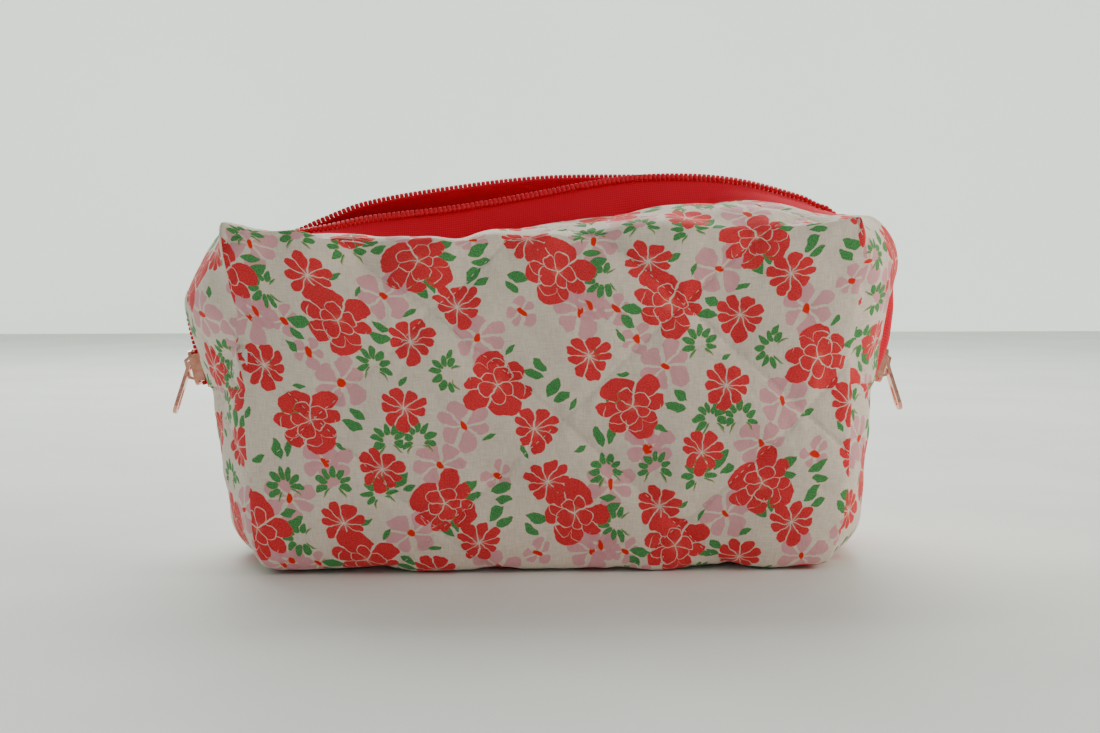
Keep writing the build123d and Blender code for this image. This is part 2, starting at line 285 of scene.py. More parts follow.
def fold(side, column, row):
    """Where a point of the flat cut lies on the made-up pouch."""
    end = 1 if column > 0 else -1
    past = abs(column) - MIDDLE_COLUMNS
    if row >= WALL_TOP:
        s = (row - WALL_TOP) / FLAP_ROWS
        return top_end_point(side, end, past, s) if past > 0 else flap_point(side, column, s)
    if row > BASE_ROWS:
        return wall_point(side, column, row)
    if past > 0:
        return low_end_point(side, end, past, row)
    share = row_out(row) / (SEAM_DEPTH / 2)
    return Vector((seam_line(column / MIDDLE_COLUMNS, 0), side * share * SEAM_DEEP(0), 0))


def flat_place(side, column, row):
    """A point of the cut on the flat printed cloth, with the base's middle line at height 0."""
    past = abs(column) - MIDDLE_COLUMNS
    across = min(abs(column), MIDDLE_COLUMNS) * SEAM_LENGTH / 2 / MIDDLE_COLUMNS
    if past > 0:
        across += past * END_STRETCH["top" if row >= WALL_TOP else "low"]
    up = row_out(min(row, BASE_ROWS))
    up += max(0, min(row, WALL_TOP) - BASE_ROWS) * WALL_HEIGHT / WALL_ROWS
    up += max(0, row - WALL_TOP) * FLAP_WIDTH / FLAP_ROWS
    return math.copysign(across, column), -side * up


# ------------------------------------------------------------------ mesh helpers
def new_object(name, bm):
    mesh = bpy.data.meshes.new(name)
    bm.to_mesh(mesh)
    bm.free()
    made = bpy.data.objects.new(name, mesh)
    bpy.context.scene.collection.objects.link(made)
    mesh.shade_smooth()
    return made


def settled(obj):
    """The object with its modifiers applied."""
    seen = obj.evaluated_get(bpy.context.evaluated_depsgraph_get())
    mesh = bpy.data.meshes.new_from_object(seen)
    obj.modifiers.clear()
    old = obj.data
    obj.data = mesh
    bpy.data.meshes.remove(old)
    return obj


def grid(columns, rows):
    """A flat grid whose corners lie at whole numbers, from (0, 0) to (columns, rows)."""
    bm = bmesh.new()
    spread = Matrix.Diagonal((columns / 2, rows / 2, 1, 1)) @ Matrix.Translation((1, 1, 0))
    bmesh.ops.create_grid(bm, x_segments=columns, y_segments=rows, size=1, matrix=spread)
    return bm


# ------------------------------------------------------------------ cloth
def cut_half(side):
    """The flat cut of one half, folded into place, with its place on the printed cloth as its UV map."""
    wide = MIDDLE_COLUMNS + LOW_COLUMNS
    bm = grid(2 * wide, LAST_ROW)
    bmesh.ops.translate(bm, verts=bm.verts, vec=(-wide, 0, 0))
    waste = []
    for face in bm.faces:
        middle = face.calc_center_median()
        past = abs(middle.x) - MIDDLE_COLUMNS
        beside_wall = past > 0 and BASE_ROWS < middle.y < WALL_TOP
        beyond_top = past > TOP_COLUMNS and middle.y > WALL_TOP
        if beside_wall or beyond_top:
            waste.append(face)
    bmesh.ops.delete(bm, geom=waste, context="FACES")
    uv = bm.loops.layers.uv.new("cloth")
    half = bm.faces.layers.int.new("half")
    for face in bm.faces:
        face[half] = side
        middle = face.calc_center_median()
        for loop in face.loops:
            column, row = round(loop.vert.co.x), round(loop.vert.co.y)
            inside = row + 0.01 if middle.y > row else row - 0.01
            across, up = flat_place(side, column, inside if row in (BASE_ROWS, WALL_TOP) else row)
            loop[uv].uv = (across * MM, up * MM)
    for vert in bm.verts:
        vert.co = fold(side, round(vert.co.x), round(vert.co.y)) * MM
    if side > 0:
        bmesh.ops.reverse_faces(bm, faces=bm.faces)
    return bm


def made_up_pouch():
    """Both halves sewn into one shell."""
    bm = bmesh.new()
    for side in SIDES.values():
        mesh = bpy.data.meshes.new("half")
        half = cut_half(side)
        half.to_mesh(mesh)
        half.free()
        bm.from_mesh(mesh)
        bpy.data.meshes.remove(mesh)
    bmesh.ops.remove_doubles(bm, verts=bm.verts, dist=0.35 * MM)
    bmesh.ops.recalc_face_normals(bm, faces=bm.faces)
    return bm


def soften(bm, rounds):
    """Rounds the folds, and leaves the zip's edge and the cross seams where they are."""
    fixed = {v for e in bm.edges if e.is_boundary for v in e.verts}
    loose = [v for v in bm.verts if v not in fixed]
    for _ in range(rounds):
        bmesh.ops.smooth_vert(bm, verts=loose, factor=0.5, use_axis_x=True, use_axis_y=True, use_axis_z=True)


def quilt_lines(across, up):
    """Distances, in mm, from a place on the flat cloth to the nearest quilting line of each slant."""
    x = (across - DIAMOND_PLACE[0]) / DIAMOND_WIDE
    y = (up - DIAMOND_PLACE[1]) / DIAMOND_TALL
    pitch = DIAMOND_WIDE * DIAMOND_TALL / math.hypot(DIAMOND_WIDE, DIAMOND_TALL)
    return [abs(line - round(line)) * pitch for line in (x + y, x - y)]


RIDGE_PLACE = SEAM_DEPTH / 2 + WALL_HEIGHT
ZIP_EDGE = RIDGE_PLACE + FLAP_WIDTH
SWELLS = [(1.5, 30), (0.8, 12)]  # height and spread of the cloth's soft waves
PUCKER = (0.8, 5)  # the same for the puckers along the quilting
GATHER = (2.6, 13)  # and for the gathers in a band along the ridges
GATHER_BAND = 11
GATHER_SHIFT = Vector((3.3, 0, 7.1))  # keeps the gathers apart from the swells
FLAT_BY_ZIP = 9  # the cloth lies flat from this far to its edge beside the zip


def waves(place, height, spread):
    """Smooth noise at a place in metres, with its height and spread in mm."""
    return height * noise.noise(place / (spread * MM))


def gathers(place, up):
    height, spread = GATHER
    near = math.exp(-(((abs(up) - RIDGE_PLACE) / GATHER_BAND) ** 2))
    return height * near * noise.noise(place / (spread * MM) + GATHER_SHIFT)


def seam_verts(bm):
    """Vertices on the seams, where neighbouring faces lie apart on the flat cloth."""
    uv = bm.loops.layers.uv["cloth"]
    found = set()
    for edge in bm.edges:
        for vert in edge.verts:
            places = [loop[uv].uv for face in edge.link_faces for loop in face.loops if loop.vert == vert]
            if len(places) == 2 and (places[0] - places[1]).length > MM:
                found.add(vert)
    return found


def uneven(bm, seams):
    """Adds the soft unevenness of sewn cloth, and notes how strongly the quilting draws each point in."""
    uv = bm.loops.layers.uv["cloth"]
    drawn = bm.verts.layers.float.new("drawn")
    bm.normal_update()
    moves = {}
    for vert in bm.verts:
        across, up = vert.link_loops[0][uv].uv / MM
        vert[drawn] = math.exp(-min(quilt_lines(across, up)) / QUILT_SOFTNESS)
        soft = sum(waves(vert.co, *swell) for swell in SWELLS)
        soft += vert[drawn] * waves(vert.co, *PUCKER) + gathers(vert.co, up)
        soft *= min(1, (ZIP_EDGE - abs(up)) / FLAT_BY_ZIP)
        moves[vert] = vert.normal * soft * MM
        if vert in seams:
            moves[vert] -= vert.normal * SEAM_SINK * MM
    for vert, move in moves.items():
        vert.co += move


def layer(bm, name, side, depth, thickness, draw, short=False):
    """One layer of one half. A short layer stops a row before the zip."""
    part = bm.copy()
    part.normal_update()
    half = part.faces.layers.int["half"]
    drawn = part.verts.layers.float["drawn"]
    moves = [(v, v.normal * (depth + draw * v[drawn]) * MM) for v in part.verts]
    for vert, move in moves:
        vert.co -= move
        vert.co.z = max(vert.co.z, depth * MM)
    waste = [f for f in part.faces if f[half] != side]
    if short:
        waste += [f for f in part.faces if f[half] == side and any(v.is_boundary for v in f.verts)]
    bmesh.ops.delete(part, geom=waste, context="FACES")
    made = new_object(name, part)
    wall = made.modifiers.new("thickness", "SOLIDIFY")
    wall.thickness = thickness * MM
    wall.offset = -1
    return settled(made)


def surface(bm):
    """The quilted face of the shell."""
    face = bm.copy()
    face.normal_update()
    drawn = face.verts.layers.float["drawn"]
    moves = [(v, v.normal * QUILT_SINK * v[drawn] * MM) for v in face.verts]
    for vert, move in moves:
        vert.co -= move
        vert.co.z = max(vert.co.z, 0)
    return face


# ------------------------------------------------------------------ quilting stitches
STITCH_PITCH = 2.6
STITCH_LENGTH = 1.5
THREAD = 0.26
STITCH_REACH = 140  # stitches each way along a quilting line


def stitch_places(side):
    """Evenly spaced places along the quilting lines of one half's flat cloth, with their directions."""
    slant = Vector((DIAMOND_WIDE, DIAMOND_TALL)).normalized()
    for lean in (-1, 1):
        along = Vector((slant.x, lean * slant.y))
        for line in range(-8, 9):
            start = Vector((DIAMOND_PLACE[0] + line * DIAMOND_WIDE, DIAMOND_PLACE[1]))
            for n in range(-STITCH_REACH, STITCH_REACH + 1):
                place = start + along * n * STITCH_PITCH
                if -side * place.y > 0:
                    yield place, along


def quilting_stitches(bm, side):
    """Short threads lying in the quilting lines."""
    uv = bm.loops.layers.uv["cloth"]
    half = bm.faces.layers.int["half"]
    corners, solid, triangles = [], [], []
    for loops in bm.calc_loop_triangles():
        if loops[0].face[half] != side:
            continue
        triangles.append([len(corners) + k for k in range(3)])
        corners += [Vector((*(loop[uv].uv / MM), 0)) for loop in loops]
        solid += [loop.vert.co.copy() for loop in loops]
    flat = BVHTree.FromPolygons(corners, triangles)

    def on_pouch(place):
        hit, _, index, distance = flat.find_nearest(Vector((*place, 0)))
        if distance > 0.02:
            return None
        a, b, c = triangles[index]
        spots = [corners[k] for k in (a, b, c)] + [solid[k] for k in (a, b, c)]
        out = (solid[b] - solid[a]).cross(solid[c] - solid[a]).normalized()
        return barycentric_transform(hit, *spots), out

    made = bmesh.new()
    for place, along in stitch_places(side):
        here, ahead = on_pouch(place), on_pouch(place + along * 0.6)
        if not here or not ahead or (ahead[0] - here[0]).length > 1.5 * MM:
            continue
        middle, out = here
        run = (ahead[0] - middle).normalized()
        cross = out.cross(run).normalized()
        turn = Matrix((run, cross, out)).transposed().to_4x4()
        size = Matrix.Diagonal((STITCH_LENGTH / THREAD, 1, 0.8, 1))
        spot = Matrix.Translation(middle + out * THREAD * 0.2 * MM)
        radius = THREAD / 2 * MM
        bmesh.ops.create_icosphere(made, subdivisions=1, radius=radius, matrix=spot @ turn @ size)
    return new_object("stitches", made)


# ------------------------------------------------------------------ bindings, mm
BINDING_FROM, BINDING_TO = 3.6, 9.2  # how far inside the seam's line a binding starts and ends
BINDING_THICK = 1.4
BINDING_WAVE = 0.5


def binding(points, inward, across):
    """A folded tape over the raw edges inside a seam: it stands inward from the seam's line."""
    bm = grid(len(points) - 1, 4)
    uv = bm.loops.layers.uv.new("cloth")
    for face in bm.faces:
        for loop in face.loops:
            loop[uv].uv = (loop.vert.co.x * 2.6 * MM, loop.vert.co.y * 1.5 * MM)
    for vert in bm.verts:
        station, share = round(vert.co.x), vert.co.y / 4
        wave = BINDING_WAVE * math.sin(station * 0.55) * share
        vert.co = (points[station] + inward * mix(BINDING_FROM, BINDING_TO, share) + across * wave) * MM
    made = new_object("binding", bm)
    wall = made.modifiers.new("thickness", "SOLIDIFY")
    wall.thickness = BINDING_THICK * MM
    wall.offset = 0
    rounded = made.modifiers.new("rounded", "BEVEL")
    rounded.width = 0.5 * MM
    rounded.segments = 2
    return settled(made)


def corner_binding(side, end):
    """The binding inside a corner seam."""
    points = [seam_point(side, end, t / 40) for t in range(1, 38)]
    inward = Vector((-end, -side, 0)).normalized()
    return binding(points, inward, Vector((end, -side, 0)).normalized())


def cross_binding(end):
    """The binding inside an end's cross seam."""
    rows = [(side, row) for side in (-1, 1) for row in range(BASE_ROWS + 1)]
    rows = sorted(rows, key=lambda place: place[0] * place[1])
    points = [low_end_point(side, end, LOW_COLUMNS, row) for side, row in rows if row or side < 0]
    return binding(points[1:-1], Vector((-end, 0, 0)), Vector((0, 0, 1)))


# ------------------------------------------------------------------ zip
def edge_line(side, column):
    """The cloth's edge beside the zip, in mm."""
    end = 1 if column > 0 else -1
    past = abs(column) - MIDDLE_COLUMNS
    return EAR_EDGE[side, end](past / TOP_COLUMNS) if past > 0 else flap_point(side, column, 1)


def lip_line(side, column):
    """The parted edge of the zip, in mm."""
    end = 1 if column > 0 else -1
    past = abs(column) - MIDDLE_COLUMNS
    if past > 0:
        return EAR_LIP[side, end](past / TOP_COLUMNS)
    x = column * SEAM_LENGTH / 2 / MIDDLE_COLUMNS
    return Vector((x, side * LIP_IN[side](x), LIP[side](x)))


def zip_frame(side, column):
    """Lip point, direction along the zip, direction across to the lip, and outward direction."""
    here = lip_line(side, column)
    along = (lip_line(side, column + 0.2) - lip_line(side, column - 0.2)).normalized()
    across = here - edge_line(side, column)
    across = (across - along * across.dot(along)).normalized()
    out = along.cross(across)
    if side > 0:
        out.negate()
    return here, along, across, out


ZIP_END = MIDDLE_COLUMNS + TOP_COLUMNS
TAPE_UNDER = 1.2  # tape's middle below the middle of the coil
UNDER_CLOTH = 0.25  # share of the tape's width that lies under the cloth
# How far the shown tape bulges outwards, by column: most of all over the right ear
TAPE_PUFF = through((-58, 0.4), (-38, 0.3), (38, 0.3), (47, 0.3), (51, 2.2), (54, 3.0), (57, 1.4), (58, 0.6))
TAPE_DEEP = 0.9  # tape's middle below the cloth's face, at the cloth's edge
TAPE_FOOT_DEEP = 1.1  # and at its foot
TAPE_FOOT = 0.91  # where the foot lies, from 0 at the ridge to 1 at the cloth's edge


def under_cloth(side, column):
    """The tape's place at the cloth's edge, its foot's place, and how far the quilting draws both in."""
    past = abs(column) - MIDDLE_COLUMNS
    end = 1 if column > 0 else -1
    edge = edge_line(side, column)
    back = top_end_point(side, end, past, TAPE_FOOT) if past > 0 else flap_point(side, column, TAPE_FOOT)
    along = edge_line(side, column + 0.2) - edge_line(side, column - 0.2)
    down = along.cross(edge - back).normalized() * side
    drawn = math.exp(-min(quilt_lines(*flat_place(side, column, LAST_ROW))) / QUILT_SOFTNESS)
    return edge + down * TAPE_DEEP, back + down * TAPE_FOOT_DEEP, down * QUILT_SINK * drawn


def zip_tape(side):
    """The tape from under the cloth's edge to the lip, all the way round one side."""
    steps, rows = 3, 8
    bm = grid(2 * ZIP_END * steps, rows)
    uv = bm.loops.layers.uv.new("cloth")
    for face in bm.faces:
        for loop in face.loops:
            loop[uv].uv = (loop.vert.co.x * 2.6 / steps * MM, loop.vert.co.y * 1.7 * MM)
    for vert in bm.verts:
        column = min(max(vert.co.x / steps - ZIP_END, -ZIP_END + 0.01), ZIP_END - 0.01)
        share = vert.co.y / rows
        here, along, across, out = zip_frame(side, column)
        lip = here - out * TAPE_UNDER + across * 0.5
        edge, foot, sunk = under_cloth(side, column)
        if share < UNDER_CLOTH:
            place = foot.lerp(edge, share / UNDER_CLOTH) + sunk
        else:
            shown = (share - UNDER_CLOTH) / (1 - UNDER_CLOTH)
            puff = TAPE_PUFF(column) * math.sin(math.pi * shown) * (1 - shown) * 1.7
            place = edge.lerp(lip, shown) + sunk * (1 - shown) ** 3 + out * puff
        vert.co = place * MM
    bmesh.ops.recalc_face_normals(bm, faces=bm.faces)
    made = new_object("tape", bm)
    wall = made.modifiers.new("thickness", "SOLIDIFY")
    wall.thickness = TAPE * MM
    wall.offset = 0
    return settled(made)


def zip_teeth(side):
    """The coil's turns, one by one along the lip."""
    bm = bmesh.new()
    stations = 400
    columns = [mix(-ZIP_END + 0.5, ZIP_END - 0.5, n / stations) for n in range(stations + 1)]
    points = [lip_line(side, c) for c in columns]
    gone = [0.0]
    for a, b in zip(points, points[1:]):
        gone.append(gone[-1] + (b - a).length)
    shift = 0.0 if side < 0 else TOOTH_PITCH / 2
    for n in range(int((gone[-1] - shift) / TOOTH_PITCH)):
        column = float(np.interp(shift + n * TOOTH_PITCH, gone, columns))
        here, along, across, out = zip_frame(side, column)
        middle = (here - across * 0.1) * MM
        turn = Matrix((along, across, out)).transposed().to_4x4()
        size = Matrix.Diagonal((*(length * MM for length in TOOTH_SIZE), 1))
        bmesh.ops.create_cube(bm, size=1, matrix=Matrix.Translation(middle) @ turn @ size)
    rounding = {"offset": TOOTH_ROUNDING * MM, "segments": 2, "profile": 0.5}
    bmesh.ops.bevel(bm, geom=bm.edges[:], affect="EDGES", material=-1, **rounding)
    bmesh.ops.recalc_face_normals(bm, faces=bm.faces)
    return new_object("teeth", bm)


# ------------------------------------------------------------------ shader maths
class Wire:
    """A socket that Python's operators work on by adding Math nodes."""

    def __init__(self, finish, socket):
        self.finish = finish
        self.socket = socket

    def math(self, operation, *others):
        values = {0: self, **{n + 1: other for n, other in enumerate(others)}}
        return self.finish.node("ShaderNodeMath", {"operation": operation}, values)

    def __add__(self, other):
        return self.math("ADD", other)

    def __radd__(self, other):
        return self.math("ADD", other)

    def __sub__(self, other):
        return self.math("SUBTRACT", other)

    def __rsub__(self, other):
        return (self * -1).math("ADD", other)

    def __mul__(self, other):
        return self.math("MULTIPLY", other)

    def __rmul__(self, other):
        return self.math("MULTIPLY", other)

    def __truediv__(self, other):
        return self.math("DIVIDE", other)

    def __lt__(self, other):
        return self.math("LESS_THAN", other)

    def __gt__(self, other):
        return self.math("GREATER_THAN", other)

    def __pow__(self, other):
        return self.math("POWER", other)

    def size(self):
        return self.math("ABSOLUTE")

    def least(self, other):
        return self.math("MINIMUM", other)

    def most(self, other):
        return self.math("MAXIMUM", other)

    def ramp(self, low, high, start=0.0, stop=1.0):
        """The value taken from low..high to start..stop, and held there outside."""
        settings = {"interpolation_type": "SMOOTHSTEP"}
        values = {"Value": self, "From Min": low, "From Max": high, "To Min": start, "To Max": stop}
        return self.finish.node("ShaderNodeMapRange", settings, values)


class Finish:
    """One material and the nodes that make it."""

    def __init__(self, name):
        self.material = bpy.data.materials.new(name)
        self.material.use_nodes = True
        self.nodes = self.material.node_tree.nodes
        self.links = self.material.node_tree.links
        self.shader = self.nodes["Principled BSDF"]

    def node(self, kind, settings, values, output=0):
        made = self.nodes.new(kind)
        for name, setting in settings.items():
            setattr(made, name, setting)
        for socket, value in values.items():
            self.set(made.inputs[socket], value)
        return Wire(self, made.outputs[output])

    def set(self, socket, value):
        if isinstance(value, Wire):
            self.links.new(value.socket, socket)
        else:
            socket.default_value = value

    def surface(self, **values):
        for name, value in values.items():
            self.set(self.shader.inputs[name.replace("_", " ")], value)
        return self.material

    def vector(self, operation, *values):
        inputs = dict(enumerate(values))
        output = 1 if operation in ("LENGTH", "DISTANCE", "DOT_PRODUCT") else 0
        return self.node("ShaderNodeVectorMath", {"operation": operation}, inputs, output)

    def blend(self, share, a, b):
        """Colour a where share is 0, and colour b where it is 1."""
        return self.node("ShaderNodeMix", {"data_type": "RGBA"}, {0: share, 6: a, 7: b}, 2)

    def noise(self, place, scale, detail=2.0, roughness=0.5):
        values = {"Vector": place, "Scale": scale, "Detail": detail, "Roughness": roughness}
        return self.node("ShaderNodeTexNoise", {}, values)

    def in_mm(self, place):
        return self.node("ShaderNodeVectorMath", {"operation": "SCALE"}, {0: place, "Scale": 1 / MM})

    def cloth_place(self):
        """The place on the flat cloth, in mm."""
        return self.in_mm(self.node("ShaderNodeUVMap", {"uv_map": "cloth"}, {}))

    def object_place(self):
        """The place in the object's own space, in mm."""
        return self.in_mm(self.node("ShaderNodeTexCoord", {}, {}, 3))

    def bump(self, height, distance, strength=1.0):
        values = {"Height": height, "Distance": distance * MM, "Strength": strength}
        return self.node("ShaderNodeBump", {}, values)


def paint(red, green, blue):
    """A linear colour from 0..255 display values."""
    return tuple(((c / 255 + 0.055) / 1.055) ** 2.4 for c in (red, green, blue)) + (1.0,)


# ------------------------------------------------------------------ printed cotton
PRINT_WIDE = 103.0
PRINT_TALL = 76.0
PRINT_LIE = [(1.02, 0.053, 0), (-0.043, 1.004, 0)]  # the print lies a little askew on the cut
PRINT_START = (6.3, 2.2)
# Each place is across, up and turn in degrees on the print, which repeats every cell.
ROSES = [(-65, 126.5, 10), (-37.5, 145, 60), (4.5, 139, -20), (-18.5, 105.5, 190), (-79, 96, 30)]
DAISIES = [
    (-71, 139.5, 0), (-27, 132, 20), (-43, 121, 5), (11.5, 112, 15), (-48.5, 100, 0), (-7, 91, 10),
    (-57, 80.5, 0), (-4, 74, 20),
]
BLOSSOMS = [
    (-87, 148, 0), (-49, 136, 40), (10, 126, 15), (-22, 121, 0), (-67.5, 107.5, 50), (-30, 94, 10),
    (-38, 81.5, 30), (29, 83, 0),
]
BUDS = [(-76, 116.5, 30), (-8, 127, 60), (-75, 83, 20), (21, 126, 40), (-20, 77, 60), (-90, 128, 10)]
LEAVES = [
    (-78, 124, -25), (-9, 137, -30), (-20, 139.5, 35), (-19, 147, 10), (-36, 137, 120), (-5, 109, 150),
    (0.5, 102, 40), (-64, 96, 150), (-29, 73, 20), (18.5, 100, 60), (-88, 87, 100), (-50, 152, 40),
    (16, 142, 200), (-52, 124, 160),
]
SPRIGS = [
    (-72.5, 152, 0), (-58, 149, 20), (-85, 135, 90), (-56, 113.5, 0), (-33.5, 110, 80), (-44.5, 90, 0),
    (-54, 90, 10), (15, 152, 15),
]
SLIPS = [
    (-63, 140, 30), (-48, 109, 40), (-32, 116, 60), (-89, 113, 100), (-22, 90, 20), (-11, 84, 120),
    (5, 98, 60), (-70, 88, 150), (-52, 94, 100), (7, 84, 20), (-13, 116, 45), (-81, 106, 0),
    (-57, 136, 60), (-42, 130, 20), (-13, 98, 80), (22, 118, 130),
]
TINY_TURN = 1e-4


def nearest(finish, place, places):
    """From the nearest of the repeated places: the angle round it and the distance."""
    best, least = None, None
    for across, up, turn in places:
        away = finish.vector("SUBTRACT", place, (across, up, -math.radians(turn) * TINY_TURN))
        half = (PRINT_WIDE / 2, PRINT_TALL / 2, 1.0)
        away = finish.vector("WRAP", away, half, tuple(-h for h in half))
        distance = finish.vector("LENGTH", away)
        if best is None:
            best, least = away, distance
            continue
        nearer = distance < least
        best = finish.node("ShaderNodeMix", {"data_type": "VECTOR"}, {0: nearer, 4: best, 5: away}, 1)
        least = least.least(distance)
    parts = [finish.node("ShaderNodeSeparateXYZ", {}, {0: best}, k) for k in range(3)]
    angle = parts[1].math("ARCTAN2", parts[0]) - parts[2] * (1 / TINY_TURN)
    return angle, least


def petal_wave(angle, count, lean=0.0):
    """From 0 along a petal's middle to 0.5 between two petals, for petals of uneven width."""
    turn = angle + (angle * 2 + 0.7).math("SINE") * lean
    return ((turn * (count / math.tau)).math("FRACT") - 0.5).size()


def petals(angle, distance, count, radius, notch, gap, lean=0.0):
    """A ring of rounded petals, some longer than others, with fine gaps between them."""
    wave = petal_wave(angle, count, lean)
    longer = 1 + 0.09 * (angle * 3 + 1).math("SINE")
    edge = radius * (1 - notch * (wave * 2) ** 3.0) * longer
    inside = (edge - distance).ramp(-0.15, 0.15)
    space = (0.5 - wave) * distance * (math.tau / count)
    return inside * space.ramp(gap * 0.5, gap * 0.5 + 0.16), edge


def leaf(angle, distance, along, beside, length, width, tilt):
    """One pointed leaf, placed from the motif's middle and tilted."""
    x = (angle.math("COSINE") * distance) - along
    y = (angle.math("SINE") * distance) - beside
    c, s = math.cos(math.radians(tilt)), math.sin(math.radians(tilt))
    across = (y * c - x * s).size()
    lengthwise = (x * c + y * s) / (length / 2)
    edge = (1 - lengthwise**2).most(0.0) * (width / 2)
    return (edge - across).ramp(-0.1, 0.12) * (lengthwise.size() < 1.0)


def leaflets(angle, distance):
    """A sprig: small leaflets standing round an open ring."""
    wave = petal_wave(angle, 10)
    lengthwise = (distance - 3.9) / 2.0
    across = wave * distance * (math.tau / 10) / 1.05
    open_side = angle.math("SINE").ramp(-0.8, -0.7)
    return (1 - lengthwise**2 - across**2).ramp(-0.1, 0.2) * open_side


def printed_flowers(finish, place, grain, colour):
    """The print, drawn over the cotton's own colour: pale flowers, then leaves, daisies and roses."""
    speck = grain.ramp(0.25, 0.6, 0.6, 0.95)
    for places, radius, count in ((BLOSSOMS, 8.2, 6), (BUDS, 4.8, 5)):
        angle, distance = nearest(finish, place, places)
        pale, _ = petals(angle, distance, count, radius, 0.42, 0.9, 0.2)
        colour = finish.blend(pale * speck, colour, paint(228, 156, 166))
        eye = distance * (1 + 0.25 * (angle * 2).math("COSINE"))
        colour = finish.blend(eye.ramp(1.0, 1.35, 1.0, 0.0), colour, paint(236, 44, 16))

    angle, distance = nearest(finish, place, LEAVES)
    green = leaf(angle, distance, 0.4, 1.8, 7.4, 3.4, 12)
    green = green.most(leaf(angle, distance, 0.2, -2.0, 5.6, 2.7, -16))
    angle, distance = nearest(finish, place, SPRIGS)
    green = green.most(leaflets(angle, distance))
    angle, distance = nearest(finish, place, SLIPS)
    green = green.most(leaf(angle, distance, 0, 0, 4.6, 1.7, 0))
    leaf_colour = finish.blend(grain.ramp(0.35, 0.62), paint(40, 122, 58), paint(96, 164, 98))
    rim = green.ramp(0.05, 0.45) * (1 - green.ramp(0.5, 0.95))
    colour = finish.blend(green, colour, leaf_colour)
    colour = finish.blend(rim * 0.6, colour, paint(182, 158, 66))

    angle, distance = nearest(finish, place, DAISIES)
    daisy, _ = petals(angle, distance, 9, 7.1, 0.3, 0.12, 0.16)
    heart = distance.ramp(1.0, 3.0, 1.0, 0.0)
    red = finish.blend(grain.ramp(0.35, 0.65), paint(220, 22, 34), paint(236, 72, 76))
    colour = finish.blend(daisy, colour, finish.blend(heart * 0.75, red, paint(234, 112, 108)))

    angle, distance = nearest(finish, place, ROSES)
    outer, _ = petals(angle, distance, 6, 10.7, 0.36, 0.2, 0.3)
    inner, inner_edge = petals(angle + 0.5, distance, 5, 5.6, 0.3, 0.16, 0.2)
    ring_line = (distance - inner_edge).size().ramp(0.05, 0.22)
    _, fold_edge = petals(angle + 1.3, distance, 4, 8.8, 0.4, 0.2, 0.3)
    half_round = (angle + 0.6).math("SINE").ramp(-0.1, 0.1)
    fold_line = (distance - fold_edge).size().ramp(0.03, 0.19).most(half_round)
    rose = (outer * (distance > inner_edge)).most(inner) * ring_line * fold_line
    heart = distance.ramp(0.8, 2.6, 1.0, 0.0)
    return finish.blend(rose, colour, finish.blend(heart * 0.7, red, paint(236, 106, 92)))


def printed_cotton():
    """Floral print on off-white cotton, with its weave, its creases and the valleys of the quilting."""
    finish = Finish("printed_cotton")
    flat = finish.cloth_place()
    waver = finish.node("ShaderNodeTexNoise", {}, {"Vector": flat, "Scale": 0.2, "Detail": 2.0}, 1)
    waver = finish.vector("MULTIPLY", finish.vector("SUBTRACT", waver, (0.5, 0.5, 0.5)), (3.0, 3.0, 0.0))
    wavy = finish.vector("ADD", flat, waver)
    across, up = [finish.vector("DOT_PRODUCT", wavy, lie) for lie in PRINT_LIE]
    place = finish.node("ShaderNodeCombineXYZ", {}, {0: across - PRINT_START[0], 1: up - PRINT_START[1]})
    grain = finish.noise(flat, 2.6, 3.0, 0.7)
    threads = finish.noise(finish.vector("MULTIPLY", flat, (3.2, 0.25, 0)), 1.0, 2.0)
    cross_threads = finish.noise(finish.vector("MULTIPLY", flat, (0.25, 3.2, 0)), 1.0, 2.0)
    slub = threads * 0.5 + cross_threads * 0.5
    colour = finish.blend(slub.ramp(0.35, 0.65), paint(226, 206, 188), paint(242, 227, 211))
    colour = printed_flowers(finish, place, grain, colour)

    from_crossing = finish.vector("SUBTRACT", flat, (*DIAMOND_PLACE, 0))
    from_crossing = finish.vector("MULTIPLY", from_crossing, (1 / DIAMOND_WIDE, 1 / DIAMOND_TALL, 0))
    x, y = [finish.node("ShaderNodeSeparateXYZ", {}, {0: from_crossing}, k) for k in range(2)]
    pitch = DIAMOND_WIDE * DIAMOND_TALL / math.hypot(DIAMOND_WIDE, DIAMOND_TALL)
    away = [((line + 0.5).math("FRACT") - 0.5).size() * pitch for line in (x + y, x - y)]
    valley = away[0].least(away[1]).ramp(0.0, 1.4)
    weave = slub * 0.6 + grain * 0.4
    crumple = finish.noise(flat, 0.16, 3.0, 0.6)
    bumps = finish.bump(weave, 0.12, 0.8)
    deeper = {"Height": valley * 0.4 + crumple, "Distance": 0.9 * MM, "Strength": 0.7, "Normal": bumps}
    bumps = finish.node("ShaderNodeBump", {}, deeper)
    finish.surface(Base_Color=colour, Roughness=slub.ramp(0.3, 0.7, 0.86, 0.95), Normal=bumps)
    return finish.surface(Sheen_Weight=0.12, Sheen_Roughness=0.5, Specular_IOR_Level=0.25)


def plain_cotton(name, light, dark):
    """Unprinted cloth in two close tones."""
    finish = Finish(name)
    place = finish.object_place()
    threads = finish.noise(finish.vector("MULTIPLY", place, (3.0, 3.0, 0.3)), 1.0, 2.0)
    grain = finish.noise(place, 2.2, 3.0, 0.7)
    colour = finish.blend(threads.ramp(0.35, 0.65), dark, light)
    weave = threads * 0.6 + grain * 0.4
    rough = grain.ramp(0.3, 0.7, 0.88, 0.96)
    finish.surface(Base_Color=colour, Roughness=rough, Normal=finish.bump(weave, 0.12, 0.7))
    return finish.surface(Sheen_Weight=0.1, Specular_IOR_Level=0.25)


